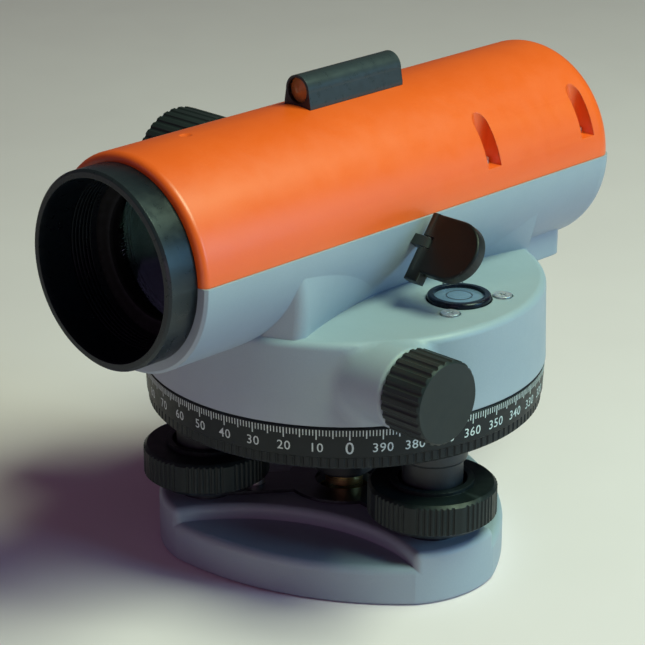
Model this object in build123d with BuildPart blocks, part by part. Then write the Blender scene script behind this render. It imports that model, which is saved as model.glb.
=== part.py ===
"""Automatic level: a surveyor's telescope on a turning base with three footscrews.

Frame: origin at the middle of the base plate's underside, on the vertical axis. +Z is up, the
telescope points along -Y (objective) and is looked into from +Y (eyepiece). +X is the side with
the circular bubble and its folding mirror, -X the side with the focus knob. Millimetres.
"""
from build123d import *
from math import asin, cos, degrees, radians, sin
import os

os.makedirs("parts", exist_ok=True)

# ---------------------------------------------------------------- driving dimensions
# base plate and footscrews
SCREW_ANGLES = {"a": -8.4, "b": 111.6, "c": -128.4}
SCREW_CIRCLE_R = 40.7
BASE_CORNER_R = 53.2
BASE_CORNER_HALF = 15.6
BASE_NOSE_R = 54.8
BASE_SIDE_R = 46.2
BASE_STEP_Z = 11.6
BASE_TOP_Z = 16.0
BASE_RIDGE_Z = 2.0
BASE_CORNER_FILLET = 2.4
BASE_RIDGE_FILLET = 2.4
BASE_STEP_FILLET = 2.3
BASE_TOP_FILLET = 2.0
WAIST_R = 23.4
THREAD_R = 7.94
INSERT_R = 10.6
INSERT_TOP_Z = 13.4
BALL_R = 5.5
BALL_Z = 10.6
SPINDLE_R = 4.0
SPRING_PLATE_T = 1.0
KNOB_R = 18.4
KNOB_Z0 = 20.3
KNOB_Z1 = 31.1

# levelling head, vertical axis and graduated circle
POST_R = 8.7
HUB_R = 9.1
HUB_Z0 = 20.5
ARM_Z0 = 38.5
ARM_Z1 = 44.6
CIRCLE_R = 58.0
CIRCLE_Z0 = 45.3
CIRCLE_Z1 = 57.8
JOURNAL_R = 22.0
AXIS_R = 8.0
AXIS_TIP_R = 5.0
FIT = 0.03

# worm drive
WORM_Y = -32.0
WORM_Z = 70.5
WHEEL_R = 26.2
WHEEL_TEETH = 60
WHEEL_Z0 = 66.5
WHEEL_Z1 = 73.5
BUSH_R = 14.0
TANGENT_KNOB_R = 11.7
TANGENT_X0 = 55.3
TANGENT_X1 = 68.4
TANGENT_BOSS_R = 12.0
TANGENT_BOSS_X = 54.6

# housing
DRUM_R = 58.2
DRUM_TOP_R = 57.6
DRUM_Z0 = 58.3
SHOULDER_Z = 82.0
DRUM_CEILING_Z = 77.5
TUBE_Z = 105.25
COVER_R = 29.7
TUBE_R = 30.3
TUBE_Y0 = -82.0
TUBE_Y1 = 85.0
BORE_R = 26.9
BORE_FLOOR_Z = 81.3
NECK_Y0 = -46.0
NECK_YM = 5.5
NECK_Y1 = 52.0
NECK_FRONT_R = 56.2
NECK_CORNER_R = 3.5
BOSS_BLEND_R = 6.0
POCKETS_Y = (31.3, 73.1)
POCKET_X = 23.2
POCKET_Z = 112.3
PILLAR_R = 4.4
PILLAR_Z = 95.0

# telescope parts
HOOD_R = 27.1
HOOD_Y0 = -91.4
LENS_R = 19.5
GUIDE_R = 15.0
FOCUS_Y = -12.8
FOCUS_KNOB_R = 16.5
FOCUS_SHAFT_R = 3.0
PINION_R = 4.0
PENDULUM_Y = 35.0
PENDULUM_Z = 119.0
EYEPIECE_R = 8.0

# bubble, mirror and peep sight
BUBBLE_X = 38.4
BUBBLE_Y = 6.0
BUBBLE_R = 9.0
VIAL_R = 7.2
VIAL_TOP_Z = 83.1
VIAL_DOME_R = 40.5
BUBBLE_SCREW_R = 12.4
BUBBLE_SCREW_ANGLES = (54, 140, 300)
MIRROR_HINGE = (34.2, -2.5, 99.1)
MIRROR_HALF = 8.65
MIRROR_REACH = 9.6
MIRROR_T = 3.6
SIGHT_Y0 = -19.0
SIGHT_Y1 = 18.0
SIGHT_Z = 139.2
SIGHT_R = 4.4

# solids that stand on their placing point
UP = (Align.CENTER, Align.CENTER, Align.MIN)

# planes and axes used more than once
TURN_Y = Plane(origin=(0, 0, TUBE_Z), x_dir=(1, 0, 0), z_dir=(0, 0, 1))
OPTICAL_AXIS = Axis((0, 0, TUBE_Z), (0, 1, 0))
SIGHT_PLANE = Plane(origin=(0, SIGHT_Y0, 0), x_dir=(1, 0, 0), z_dir=(0, -1, 0))
PLANE_MIRROR = Plane(origin=MIRROR_HINGE, x_dir=(1, 0, 0), z_dir=(0, -0.8, 0.6))


def polar(radius, angle):
    """A point of the XY plane at a radius and an angle in degrees."""
    return (radius * cos(radians(angle)), radius * sin(radians(angle)))


def tube_plane(y):
    """The plane across the telescope at y, its normal pointing to the eyepiece (+Y)."""
    return Plane(origin=(0, y, TUBE_Z), x_dir=(-1, 0, 0), z_dir=(0, 1, 0))


def side_plane(x, y, z):
    """The plane across a shaft that runs along +X, with its local y up."""
    return Plane(origin=(x, y, z), x_dir=(0, 1, 0), z_dir=(1, 0, 0))


def save(builder, name):
    """Label a finished sub-part and write its STEP file."""
    builder.part.label = name
    export_step(builder.part, f"parts/{name}.step")


def star_outline(corner_r, nose_r, half_angle, side_r):
    """Closed outline with three noses at the footscrews and arcs between them."""
    for angle in sorted(SCREW_ANGLES.values()):
        start = polar(corner_r, angle - half_angle)
        end = polar(corner_r, angle + half_angle)
        following = polar(corner_r, angle + 120 - half_angle)
        ThreePointArc(start, polar(nose_r, angle), end)
        ThreePointArc(end, polar(side_r, angle + 60), following)


SCREW_POINTS = [polar(SCREW_CIRCLE_R, a) for a in SCREW_ANGLES.values()]

# ================================================================ base
# ridge of the base plate: full height at the three noses, scooped out between them
with BuildPart() as base_ridge:
    with BuildSketch(Plane.XY.offset(BASE_RIDGE_Z)):
        with BuildLine():
            star_outline(BASE_CORNER_R, BASE_NOSE_R, BASE_CORNER_HALF, WAIST_R)
        make_face()
        fillet(vertices(), BASE_RIDGE_FILLET)
    extrude(amount=BASE_TOP_Z - BASE_RIDGE_Z)
    fillet(faces().sort_by(Axis.Z)[-1].edges(), BASE_TOP_FILLET)

with BuildPart() as base_plate:
    with BuildSketch():
        with BuildLine():
            star_outline(BASE_CORNER_R, BASE_NOSE_R, BASE_CORNER_HALF, BASE_SIDE_R)
        make_face()
        fillet(vertices(), BASE_CORNER_FILLET)
    extrude(amount=BASE_STEP_Z)
    fillet(faces().sort_by(Axis.Z)[-1].edges(), BASE_STEP_FILLET)
    fillet(faces().sort_by(Axis.Z)[0].edges(), 1.2)
    add(base_ridge.part)
    # hollow underside between the rim and the centre boss
    with BuildSketch():
        Circle(35)
        Circle(15, mode=Mode.SUBTRACT)
    extrude(amount=3.2, mode=Mode.SUBTRACT)
    with Locations((0, 0, 0)):
        Cylinder(INSERT_R, INSERT_TOP_Z, align=UP, mode=Mode.SUBTRACT)
        Cylinder(THREAD_R + 0.2, BASE_TOP_Z + 1, align=UP, mode=Mode.SUBTRACT)
    # ball sockets, open upwards
    with Locations(*[(x, y, BALL_Z) for x, y in SCREW_POINTS]):
        Sphere(BALL_R + 0.3, mode=Mode.SUBTRACT)
        Cylinder(BALL_R + 0.3, 10, align=UP, mode=Mode.SUBTRACT)
    # pilot holes of the spring plate's screws
    with Locations(*[(*polar(26.5, a), 8) for a in SCREW_ANGLES.values()]):
        Cylinder(1.5, 12, align=UP, mode=Mode.SUBTRACT)
save(base_plate, "base_plate")

with BuildPart() as thread_insert:
    with BuildSketch():
        Circle(INSERT_R)
        Circle(THREAD_R, mode=Mode.SUBTRACT)
    extrude(amount=INSERT_TOP_Z)
save(thread_insert, "thread_insert")

with BuildPart() as spring_plate:
    with BuildSketch(Plane.XY.offset(BASE_TOP_Z)):
        Circle(17)
        for angle in SCREW_ANGLES.values():
            with Locations(Rot(0, 0, angle) * Pos(SCREW_CIRCLE_R / 2, 0, 0)):
                Rectangle(SCREW_CIRCLE_R, 13)
        with Locations(*SCREW_POINTS):
            Circle(8.5)
            Circle(4.9, mode=Mode.SUBTRACT)
        with Locations(*[polar(26.5, a) for a in SCREW_ANGLES.values()]):
            Circle(1.5, mode=Mode.SUBTRACT)
        Circle(8.6, mode=Mode.SUBTRACT)
    extrude(amount=SPRING_PLATE_T)
save(spring_plate, "spring_plate")

with BuildPart() as spring_plate_screws:
    for angle in SCREW_ANGLES.values():
        x, y = polar(26.5, angle)
        with Locations((x, y, 8)):
            Cylinder(1.5, 9, align=UP)
        with Locations((x, y, BASE_TOP_Z + SPRING_PLATE_T)):
            Cylinder(2.8, 1.6, align=UP)
        with Locations((x, y, BASE_TOP_Z + SPRING_PLATE_T + 1.0)):
            Box(3.2, 0.7, 2, align=UP, mode=Mode.SUBTRACT)
save(spring_plate_screws, "spring_plate_screws")

# ================================================================ footscrews
KNOB_GROUPS = 8
GROOVES_PER_GROUP = 7
GROOVE_PITCH = 5.2
COLLAR_R = 11.8
WELL_R = 9.9
WELL_Z = 26.6

for key, (sx, sy) in zip(SCREW_ANGLES, SCREW_POINTS):
    with BuildPart() as footscrew_knob:
        with BuildSketch(Plane.XY.offset(KNOB_Z0)):
            with Locations((sx, sy)):
                Circle(KNOB_R)
                with PolarLocations(KNOB_R + 0.15, KNOB_GROUPS):
                    for i in range(GROOVES_PER_GROUP):
                        turn = (i - GROOVES_PER_GROUP / 2 + 0.5) * GROOVE_PITCH
                        offset_x = (KNOB_R + 0.15) * (cos(radians(turn)) - 1)
                        offset_y = (KNOB_R + 0.15) * sin(radians(turn))
                        with Locations((offset_x, offset_y)):
                            Circle(0.52, mode=Mode.SUBTRACT)
        extrude(amount=KNOB_Z1 - KNOB_Z0)
        # rounded shoulders at both ends: everything outside this turned shape is cut off
        with BuildSketch(Plane(origin=(sx, sy, 0), x_dir=(1, 0, 0), z_dir=(0, -1, 0))):
            with BuildLine():
                Polyline((0, KNOB_Z0), (KNOB_R - 2.6, KNOB_Z0), (KNOB_R + 0.2, KNOB_Z0 + 2.2),
                         (KNOB_R + 0.2, KNOB_Z1 - 1.2), (KNOB_R - 1.0, KNOB_Z1), (COLLAR_R, KNOB_Z1),
                         (COLLAR_R, KNOB_Z1 + 1.1), (COLLAR_R - 0.5, KNOB_Z1 + 1.6),
                         (0, KNOB_Z1 + 1.6), close=True)
            make_face()
        revolve(axis=Axis((sx, sy, 0), (0, 0, 1)), mode=Mode.INTERSECT)
        with Locations((sx, sy, KNOB_Z1)):
            Cylinder(COLLAR_R, 1.1, align=UP)
        with Locations((sx, sy, WELL_Z)):
            Cylinder(WELL_R, 12, align=UP, mode=Mode.SUBTRACT)
        with Locations((sx, sy, 0)):
            Cylinder(SPINDLE_R, 60, mode=Mode.SUBTRACT)
    save(footscrew_knob, f"footscrew_knob_{key}")

    with BuildPart() as footscrew_spindle:
        with BuildSketch(Plane(origin=(sx, sy, 0), x_dir=(1, 0, 0), z_dir=(0, -1, 0))):
            with BuildLine():
                # half profile from the ball's underside to the tip of the thread
                foot = CenterArc((0, BALL_Z), BALL_R, -90, 142)
                Polyline(foot @ 1, (foot @ 1 + Vector(0, 1.2)), (3.4, 18.6), (SPINDLE_R, 19.2),
                         (SPINDLE_R, 43.0), (SPINDLE_R - 0.7, 43.7), (0, 43.7), foot @ 0)
            make_face()
        revolve(axis=Axis((sx, sy, 0), (0, 0, 1)))
    save(footscrew_spindle, f"footscrew_spindle_{key}")

# centre link between the base and the levelling head: a polished turned washer
with BuildPart() as centre_link:
    with Locations((0, 0, 14.3)):
        Cylinder(5.6, HUB_Z0 - 0.3 - 14.3, align=UP)
    chamfer(edges().filter_by(GeomType.CIRCLE), 0.5)
save(centre_link, "centre_link")

# ================================================================ levelling head
POST_BORE_R = 5.3
with BuildPart() as levelling_head:
    with BuildSketch(Plane.XY.offset(ARM_Z0)):
        Circle(25)
        for angle in SCREW_ANGLES.values():
            with Locations(Rot(0, 0, angle) * Pos(SCREW_CIRCLE_R / 2, 0, 0)):
                Rectangle(SCREW_CIRCLE_R, 18)
        with Locations(*SCREW_POINTS):
            Circle(POST_R + 1.2)
    extrude(amount=ARM_Z1 - ARM_Z0)
    fillet(faces().sort_by(Axis.Z)[0].edges(), 1.0)
    with BuildSketch(Plane.XY.offset(28.9)):
        with Locations(*SCREW_POINTS):
            Circle(POST_R)
    extrude(amount=ARM_Z1 - 28.9)
    with BuildSketch(Plane.XY.offset(HUB_Z0)):
        Circle(HUB_R)
    extrude(amount=ARM_Z1 - HUB_Z0)
    chamfer(faces().sort_by(Axis.Z)[0].edges(), 0.8)
    # journal that the graduated circle turns on
    with BuildSketch(Plane.XY.offset(ARM_Z1)):
        Circle(JOURNAL_R)
    extrude(amount=4.8)
    # threaded posts, hub bore, seat of the bush
    with BuildSketch(Plane.XY.offset(20)):
        with Locations(*SCREW_POINTS):
            Circle(POST_BORE_R)
    extrude(amount=40, mode=Mode.SUBTRACT)
    with Locations((0, 0, 0)):
        Cylinder(AXIS_TIP_R + FIT, 100, mode=Mode.SUBTRACT)
    with Locations((0, 0, 0)):
        Cylinder(7.0, 27.5, align=UP, mode=Mode.SUBTRACT)
    with Locations((0, 0, 42)):
        Cylinder(BUSH_R, 20, align=UP, mode=Mode.SUBTRACT)
save(levelling_head, "levelling_head")

with BuildPart() as axis_bush:
    with BuildSketch(Plane.XZ):
        with BuildLine():
            Polyline((AXIS_R + FIT, 45.0), (AXIS_R + FIT, 74.0), (BUSH_R, 74.0), (BUSH_R, WHEEL_Z0),
                     (19, WHEEL_Z0), (19, WHEEL_Z0 - 3), (BUSH_R, WHEEL_Z0 - 3), (BUSH_R, 42.0),
                     (AXIS_TIP_R + FIT, 42.0), (AXIS_TIP_R + FIT, 45.0), close=True)
        make_face()
    revolve(axis=Axis.Z)
save(axis_bush, "axis_bush")

# ================================================================ graduated circle
with BuildPart() as graduated_circle:
    with BuildSketch(Plane.XZ):
        with BuildLine():
            Polyline((JOURNAL_R + 0.05, CIRCLE_Z0 + 0.2), (52.5, CIRCLE_Z0 + 0.2), (52.5, CIRCLE_Z0),
                     (CIRCLE_R - 1.6, CIRCLE_Z0), (CIRCLE_R - 0.9, CIRCLE_Z0 + 0.7),
                     (CIRCLE_R - 0.9, CIRCLE_Z0 + 3.4), (CIRCLE_R - 0.4, CIRCLE_Z0 + 3.8),
                     (CIRCLE_R, CIRCLE_Z1 - 0.4), (CIRCLE_R - 0.4, CIRCLE_Z1), (53.0, CIRCLE_Z1),
                     (53.0, CIRCLE_Z0 + 3.2), (JOURNAL_R + 0.05, CIRCLE_Z0 + 3.2), close=True)
        make_face()
    revolve(axis=Axis.Z)
    # milled grip round the lower edge
    with BuildSketch(Plane.XY.offset(CIRCLE_Z0)):
        with PolarLocations(CIRCLE_R - 0.75, 150):
            Circle(0.5)
    extrude(amount=3.4, mode=Mode.SUBTRACT)
save(graduated_circle, "graduated_circle")

# ================================================================ worm wheel on its friction clutch
with BuildPart() as worm_wheel:
    with BuildSketch(Plane.XY.offset(WHEEL_Z0)):
        Circle(WHEEL_R)
        Circle(BUSH_R + 0.05, mode=Mode.SUBTRACT)
        with PolarLocations(WHEEL_R + 0.1, WHEEL_TEETH):
            Circle(0.75, mode=Mode.SUBTRACT)
    extrude(amount=WHEEL_Z1 - WHEEL_Z0)
save(worm_wheel, "worm_wheel")

with BuildPart() as clutch_washer:
    with BuildSketch(Plane.XY.offset(WHEEL_Z1)):
        Circle(18.5)
        Circle(BUSH_R + 0.05, mode=Mode.SUBTRACT)
    extrude(amount=0.8)
save(clutch_washer, "clutch_washer")

# ================================================================ lower housing
BOSS_X0 = 36.0
REAR_BLOCK_X = 19.0
REAR_BLOCK_Y = 76.0
REAR_BLOCK_Z = 73.6


def neck_section(y, foot_half, top_half, bow):
    """Cross-section of the neck at y: narrow at the shoulder, as wide as the tube near its middle."""
    bottom_z = 72.0
    top_z = 101.5
    middle = ((foot_half + top_half) / 2 + bow, (SHOULDER_Z + top_z) / 2)
    with BuildSketch(Plane(origin=(0, y, 0), x_dir=(1, 0, 0), z_dir=(0, -1, 0))) as section:
        with BuildLine():
            Line((-foot_half, bottom_z), (foot_half, bottom_z))
            Line((foot_half, bottom_z), (foot_half, SHOULDER_Z))
            ThreePointArc((foot_half, SHOULDER_Z), middle, (top_half, top_z))
            Line((top_half, top_z), (-top_half, top_z))
            ThreePointArc((-top_half, top_z), (-middle[0], middle[1]), (-foot_half, SHOULDER_Z))
            Line((-foot_half, SHOULDER_Z), (-foot_half, bottom_z))
        make_face()
    return section.sketch


NECK_SECTIONS = [neck_section(NECK_Y0 - 12, 35.0, 29.4, 0.3), neck_section(NECK_YM, 18.6, 29.2, 1.8),
                 neck_section(NECK_Y1, 24.8, 29.5, 0.4)]

# the neck: waisted between its four corners, with a front wall that carries on from the drum
with BuildPart() as neck:
    loft(NECK_SECTIONS)
    with BuildSketch(Plane.XY.offset(60)):
        Circle(NECK_FRONT_R)
        with Locations((0, 50)):
            Rectangle(120, 100)
    extrude(amount=60, mode=Mode.INTERSECT)
    upright = edges().filter_by(lambda e: e.center().Y < -40 and abs(e.center().X) > 20)
    tall = upright.filter_by(lambda e: e.bounding_box().size.Z > 8 and e.bounding_box().size.Y < 8)
    fillet(tall, NECK_CORNER_R)

# bosses of the tangent shaft on both sides of the drum
with BuildPart() as tangent_bosses:
    for side in (1, -1):
        with BuildSketch(side_plane(side * BOSS_X0, WORM_Y, WORM_Z)):
            Circle(TANGENT_BOSS_R - 0.6)
        extrude(amount=side * (TANGENT_BOSS_X - BOSS_X0))
    fillet(edges().filter_by(GeomType.CIRCLE).filter_by(lambda e: abs(e.center().X) > 54), 1.4)

# lower half of the telescope tube
with BuildPart() as half_tube:
    with BuildSketch(tube_plane(TUBE_Y0)):
        Circle(TUBE_R)
    extrude(amount=TUBE_Y1 - TUBE_Y0)
    fillet(edges().group_by(Axis.Y)[-1], 6.5)
    chamfer(edges().group_by(Axis.Y)[0], 0.8)
    split(bisect_by=Plane.XY.offset(TUBE_Z), keep=Keep.BOTTOM)

# telescope bore with a flat floor
with BuildPart() as bore:
    with BuildSketch(tube_plane(TUBE_Y0 - 1)):
        Circle(BORE_R)
    extrude(amount=TUBE_Y1 - TUBE_Y0 - 3)
    split(bisect_by=Plane.XY.offset(BORE_FLOOR_Z), keep=Keep.TOP)

with BuildPart() as lower_housing:
    # drum
    with BuildSketch(Plane.XZ):
        with BuildLine():
            Polyline((0, DRUM_Z0), (DRUM_R, DRUM_Z0), (DRUM_TOP_R, SHOULDER_Z), (0, SHOULDER_Z), close=True)
        make_face()
    revolve(axis=Axis.Z)
    fillet(edges().group_by(Axis.Z)[-1], 2.2)
    add(tangent_bosses.part)
    # soft blends where the bosses grow out of the drum
    meeting = edges().filter_by(lambda e: 40 < abs(e.center().X) < 53 and e.center().Y < -20)
    fillet(meeting.filter_by(lambda e: e.length > 10), BOSS_BLEND_R)
    add(neck.part)
    # rear block under the eyepiece
    with BuildSketch(Plane.XY.offset(REAR_BLOCK_Z)):
        with Locations((0, REAR_BLOCK_Y / 2 + 15)):
            RectangleRounded(2 * REAR_BLOCK_X, REAR_BLOCK_Y - 30, 5)
    extrude(amount=20)
    add(half_tube.part)
    add(bore.part, mode=Mode.SUBTRACT)
    with BuildSketch(tube_plane(TUBE_Y0 - 1)):
        Circle(BORE_R)
    extrude(amount=26, mode=Mode.SUBTRACT)
    # pillars of the cover's screws
    for px in (-POCKET_X, POCKET_X):
        with Locations(*[(px, y, PILLAR_Z) for y in POCKETS_Y]):
            Cylinder(PILLAR_R, TUBE_Z - PILLAR_Z, align=UP)
        with Locations(*[(px, y, PILLAR_Z + 1) for y in POCKETS_Y]):
            Cylinder(1.5, 30, align=UP, mode=Mode.SUBTRACT)
    # eyepiece hole and focus shaft hole
    with BuildSketch(tube_plane(TUBE_Y1 - 6)):
        Circle(13)
    extrude(amount=12, mode=Mode.SUBTRACT)
    with BuildSketch(side_plane(-40, FOCUS_Y, TUBE_Z)):
        Circle(9)
    extrude(amount=20, mode=Mode.SUBTRACT)
    # drum cavity, open below
    with Locations((0, 0, DRUM_Z0 - 1)):
        Cylinder(54.4, DRUM_CEILING_Z - DRUM_Z0 + 1, align=UP,
                 mode=Mode.SUBTRACT)
    # tangent shaft bearings
    with BuildSketch(side_plane(-60, WORM_Y, WORM_Z)):
        Circle(6.5)
    extrude(amount=120, mode=Mode.SUBTRACT)
    # bubble well and the holes of its three adjusting screws
    with Locations((BUBBLE_X, BUBBLE_Y, 70)):
        Cylinder(BUBBLE_R + 0.3, 20, align=UP, mode=Mode.SUBTRACT)
    for angle in BUBBLE_SCREW_ANGLES:
        dx, dy = polar(BUBBLE_SCREW_R, angle)
        with Locations((BUBBLE_X + dx, BUBBLE_Y + dy, 70)):
            Cylinder(1.7, 13, align=UP, mode=Mode.SUBTRACT)
        with Locations((BUBBLE_X + dx, BUBBLE_Y + dy, SHOULDER_Z - 0.9)):
            Cylinder(3.0, 1.5, align=UP, mode=Mode.SUBTRACT)
save(lower_housing, "lower_housing")

# ================================================================ upper cover
# hollow of the cover: the bore, less the four solid pillars that the screw pockets are cut into
with BuildPart() as cover_hollow:
    with BuildSketch(tube_plane(TUBE_Y0 - 1)):
        Circle(BORE_R)
    extrude(amount=TUBE_Y1 - TUBE_Y0 - 3)
    for px in (-POCKET_X, POCKET_X):
        with Locations(*[(px, y, TUBE_Z - 10) for y in POCKETS_Y]):
            Cylinder(PILLAR_R, COVER_R + 20, align=UP, mode=Mode.SUBTRACT)

with BuildPart() as upper_cover:
    with BuildSketch(tube_plane(TUBE_Y0)):
        Circle(COVER_R)
    extrude(amount=TUBE_Y1 - TUBE_Y0)
    fillet(edges().group_by(Axis.Y)[-1], 6.5)
    fillet(edges().group_by(Axis.Y)[0], 2.0)
    add(cover_hollow.part, mode=Mode.SUBTRACT)
    split(bisect_by=Plane.XY.offset(TUBE_Z), keep=Keep.TOP)
    # screw pockets: upright slots, open to the side
    for side in (1, -1):
        with BuildSketch(Plane.XY.offset(POCKET_Z)):
            with Locations(*[(side * POCKET_X, y) for y in POCKETS_Y]):
                Circle(2.75)
            with Locations(*[(side * (POCKET_X + 6), y) for y in POCKETS_Y]):
                Rectangle(12, 5.5)
        extrude(amount=30, mode=Mode.SUBTRACT)
        with Locations(*[(side * POCKET_X, y, 100) for y in POCKETS_Y]):
            Cylinder(1.7, 20, align=UP, mode=Mode.SUBTRACT)
    with BuildSketch(tube_plane(TUBE_Y1 - 6)):
        Circle(13)
    extrude(amount=12, mode=Mode.SUBTRACT)
    with BuildSketch(side_plane(-40, FOCUS_Y, TUBE_Z)):
        Circle(9)
    extrude(amount=20, mode=Mode.SUBTRACT)
    # small locating dimple on top, near the front
    with Locations((-1.5, -59.3, TUBE_Z + COVER_R + 2.6)):
        Sphere(3.2, mode=Mode.SUBTRACT)
save(upper_cover, "upper_cover")

with BuildPart() as cover_screws:
    for px in (-POCKET_X, POCKET_X):
        for py in POCKETS_Y:
            with Locations((px, py, 98)):
                Cylinder(1.5, POCKET_Z - 98, align=UP)
            with Locations((px, py, POCKET_Z)):
                Cylinder(2.4, 1.7, align=UP)
            with Locations((px, py, POCKET_Z + 0.9)):
                Box(2.8, 0.6, 2, align=UP, mode=Mode.SUBTRACT)
                Box(0.6, 2.8, 2, align=UP, mode=Mode.SUBTRACT)
save(cover_screws, "cover_screws")

# ================================================================ objective
with BuildPart() as objective_hood:
    with BuildSketch(TURN_Y):
        with BuildLine():
            Polyline((24.9, HOOD_Y0), (26.4, HOOD_Y0), (HOOD_R, HOOD_Y0 + 0.7), (HOOD_R, TUBE_Y0),
                     (BORE_R, TUBE_Y0), (BORE_R, -61), (22.6, -61), (22.6, -75), (24.0, -84), close=True)
        make_face()
        # light-trap grooves inside
        with Locations(*[(23.6 - 0.11 * i, -81.2 + 1.1 * i) for i in range(6)]):
            Rectangle(1.6, 0.5, mode=Mode.SUBTRACT)
    revolve(axis=OPTICAL_AXIS)
save(objective_hood, "objective_hood")

with BuildPart() as objective_cell:
    with BuildSketch(TURN_Y):
        with BuildLine():
            Polyline((LENS_R - 0.8, -72), (22.6, -73.2), (22.6, -61), (25, -61), (25, -58),
                     (LENS_R - 1.2, -58), (LENS_R - 1.2, -59), (LENS_R, -59), (LENS_R, -70.6),
                     (LENS_R - 0.8, -70.6), close=True)
        make_face()
    revolve(axis=OPTICAL_AXIS)
save(objective_cell, "objective_cell")

with BuildPart() as objective_lens_front:
    with BuildSketch(TURN_Y):
        with BuildLine():
            ThreePointArc((0, -70.4), (LENS_R / 2, -69.9), (LENS_R, -68.0))
            Polyline((LENS_R, -68.0), (LENS_R, -65.2), (0, -62.6), (0, -70.4))
        make_face()
    revolve(axis=OPTICAL_AXIS)
save(objective_lens_front, "objective_lens_front")

with BuildPart() as objective_lens_rear:
    with BuildSketch(TURN_Y):
        with BuildLine():
            Polyline((0, -62.4), (LENS_R, -65.0), (LENS_R, -59.0), (0, -59.8), close=True)
        make_face()
    revolve(axis=OPTICAL_AXIS)
save(objective_lens_rear, "objective_lens_rear")

# ================================================================ focusing
GUIDE_Y0 = -42.0
GUIDE_Y1 = 8.0
RACK_X0 = -20.0
RACK_Z = TUBE_Z - PINION_R - 0.15

with BuildPart() as telescope_chassis:
    with BuildSketch(tube_plane(GUIDE_Y0)):
        Circle(GUIDE_R + 1.8)
    extrude(amount=GUIDE_Y1 - GUIDE_Y0)
    for y in (GUIDE_Y0, GUIDE_Y1 - 3):
        with BuildSketch(tube_plane(y)):
            Circle(BORE_R - 0.05)
            with Locations((0, BORE_FLOOR_Z - TUBE_Z - 10)):
                Rectangle(60, 20, mode=Mode.SUBTRACT)
        extrude(amount=3)
    with BuildSketch(tube_plane(GUIDE_Y0 - 1)):
        Circle(GUIDE_R + FIT)
    extrude(amount=GUIDE_Y1 - GUIDE_Y0 + 2, mode=Mode.SUBTRACT)
    # slot for the rack
    with Locations((-17, GUIDE_Y0 + 3, TUBE_Z)):
        Box(16, GUIDE_Y1 - GUIDE_Y0 - 6, 17, align=(Align.CENTER, Align.MIN, Align.CENTER),
            mode=Mode.SUBTRACT)
save(telescope_chassis, "telescope_chassis")

with BuildPart() as focusing_cell:
    with BuildSketch(tube_plane(-26)):
        Circle(GUIDE_R)
        Circle(12, mode=Mode.SUBTRACT)
    extrude(amount=26)
    with Locations((-13, -24, RACK_Z)):
        Box(abs(RACK_X0) - 13, 22, 3.6, align=(Align.MAX, Align.MIN, Align.MAX))
    # rack teeth
    with Locations(*[(-17.5, -23.2 + 1.25 * i, RACK_Z) for i in range(17)]):
        Box(5.2, 0.6, 1.2, mode=Mode.SUBTRACT)
save(focusing_cell, "focusing_cell")

with BuildPart() as focusing_lens:
    with BuildSketch(TURN_Y):
        with BuildLine():
            ThreePointArc((0, -15.2), (6, -15.8), (12, -17.6))
            Polyline((12, -17.6), (12, -11.0), (0, -12.6), (0, -15.2))
        make_face()
    revolve(axis=OPTICAL_AXIS)
save(focusing_lens, "focusing_lens")

with BuildPart() as focus_bush:
    with BuildSketch(side_plane(-38.5, FOCUS_Y, TUBE_Z)):
        Circle(9)
    extrude(amount=14.5)
    with BuildSketch(side_plane(-36.5, FOCUS_Y, TUBE_Z)):
        Circle(11.5)
    extrude(amount=5.4)
    with BuildSketch(side_plane(-45, FOCUS_Y, TUBE_Z)):
        Circle(FOCUS_SHAFT_R + FIT)
    extrude(amount=30, mode=Mode.SUBTRACT)
save(focus_bush, "focus_bush")

with BuildPart() as focus_shaft:
    with BuildSketch(side_plane(-55, FOCUS_Y, TUBE_Z)):
        Circle(FOCUS_SHAFT_R)
    extrude(amount=55 - 15.4)
    with BuildSketch(side_plane(-19.6, FOCUS_Y, TUBE_Z)):
        Circle(PINION_R - 0.1)
        with PolarLocations(PINION_R, 20):
            Circle(0.3, mode=Mode.SUBTRACT)
    extrude(amount=4.2)
save(focus_shaft, "focus_shaft")

with BuildPart() as focus_knob:
    with BuildSketch(side_plane(-57, FOCUS_Y, TUBE_Z)):
        Circle(FOCUS_KNOB_R)
        with PolarLocations(FOCUS_KNOB_R + 0.45, 36):
            Circle(0.85, mode=Mode.SUBTRACT)
    extrude(amount=17)
    chamfer(faces().sort_by(Axis.X)[0].edges().filter_by(lambda e: e.length < 3), 0.5)
    with BuildSketch(side_plane(-43, FOCUS_Y, TUBE_Z)):
        Circle(13.5)
    extrude(amount=4, mode=Mode.SUBTRACT)
    with BuildSketch(side_plane(-55, FOCUS_Y, TUBE_Z)):
        Circle(FOCUS_SHAFT_R)
    extrude(amount=20, mode=Mode.SUBTRACT)
save(focus_knob, "focus_knob")

# ================================================================ compensator
CAGE_Y0 = 17.0
CAGE_Y1 = 53.0
CAGE_Z0 = 83.6
CAGE_ROOF_Z = 122.3
with BuildPart() as compensator_cage:
    # two cheeks joined by a floor and a roof, on a foot
    for x in (-15.5, 13.0):
        with Locations((x, CAGE_Y0, CAGE_Z0)):
            Box(2.5, CAGE_Y1 - CAGE_Y0, CAGE_ROOF_Z - CAGE_Z0, align=Align.MIN)
    with Locations((-15.5, CAGE_Y0, CAGE_Z0)):
        Box(31, CAGE_Y1 - CAGE_Y0, 2, align=Align.MIN)
    with Locations((-9, CAGE_Y0, BORE_FLOOR_Z)):
        Box(18, CAGE_Y1 - CAGE_Y0, CAGE_Z0 - BORE_FLOOR_Z, align=Align.MIN)
    with Locations((-15.5, PENDULUM_Y - 6, CAGE_ROOF_Z)):
        Box(31, 12, 2, align=Align.MIN)
    with BuildSketch(side_plane(-20, PENDULUM_Y, PENDULUM_Z)):
        Circle(0.6 + 0.06)
    extrude(amount=40, mode=Mode.SUBTRACT)
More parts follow.
